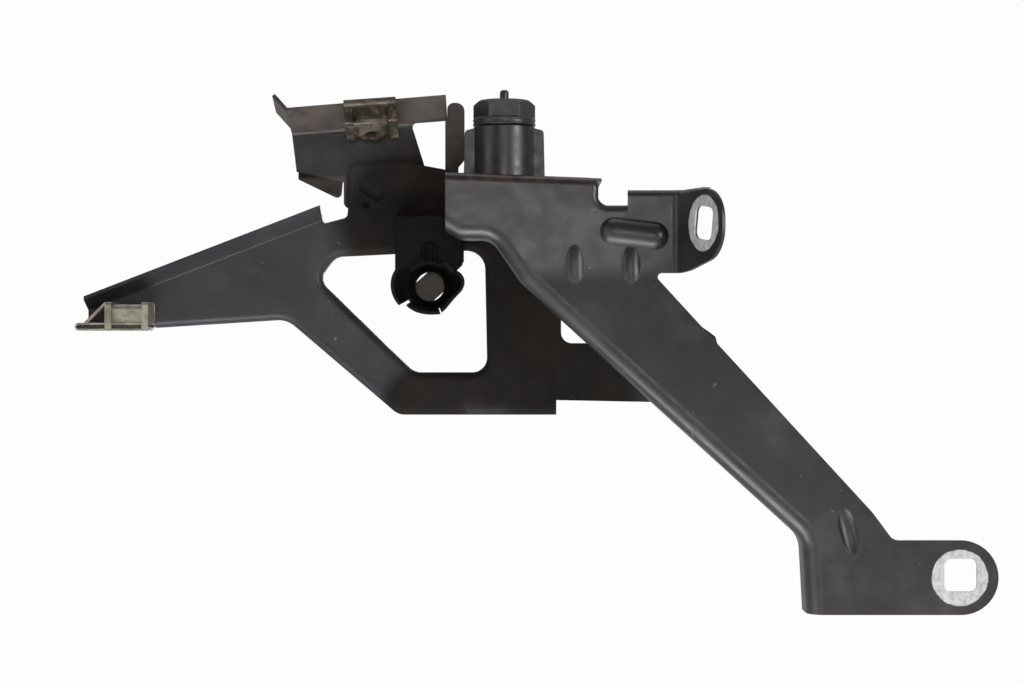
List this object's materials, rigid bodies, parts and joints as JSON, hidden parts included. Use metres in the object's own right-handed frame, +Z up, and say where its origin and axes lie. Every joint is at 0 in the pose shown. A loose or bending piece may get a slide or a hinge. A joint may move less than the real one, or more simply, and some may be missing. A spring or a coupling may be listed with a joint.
{
  "type": "fender bracket",
  "caption": "Pressed steel fender bracket with a screw-adjusted bonnet stop, spring nut clips and a moulded locating socket.",
  "frame": {"origin": "centre of the square hole in the foot, on the foot's front face", "axes": "+X along the bracket towards the foot's rounded end, +Y away from the viewer through the foot, +Z up"},
  "size_m": [0.4144, 0.0823, 0.2358],
  "materials": {
    "arm_paint": "satin black dip coat",
    "panel_paint": "satin black dip coat, slightly duller",
    "rail_paint": "satin black dip coat with dust",
    "stop_plastic": "moulded, satin",
    "adjuster_plastic": "moulded, satin",
    "stem_plastic": "moulded, satin",
    "clip_steel": "zinc plated spring steel, dull",
    "nut_steel": "zinc plated, dull",
    "socket_plastic": "moulded, matte"
  },
  "bodies": {
    "bracket": {"front_arm": "arm_paint", "rear_panel": "panel_paint", "fender_rail": "rail_paint", "stop_housing": "stop_plastic", "tip_clip": "clip_steel", "tip_clip_nut": "nut_steel", "rail_clip": "clip_steel", "rail_clip_nut": "nut_steel", "pin_socket": "socket_plastic"},
    "stem": {"stop_stem": "stem_plastic"},
    "adjuster": {"stop_adjuster": "adjuster_plastic"}
  },
  "joints": [
    {"name": "stop_lift", "type": "slide", "parent": "bracket", "child": "stem", "axis": [0, 0, 1], "range_m": [0, 0.01]},
    {"name": "adjuster_turn", "type": "hinge", "parent": "stem", "child": "adjuster", "pos_m": [-0.2004, 0.042, 0.17798], "axis": [0, 0, 1], "range_deg": [0, 1200]}
  ],
  "couplings": [
    {"joint": "stop_lift", "follows": "adjuster_turn", "m_per_rad": 0.00047746}
  ]
}
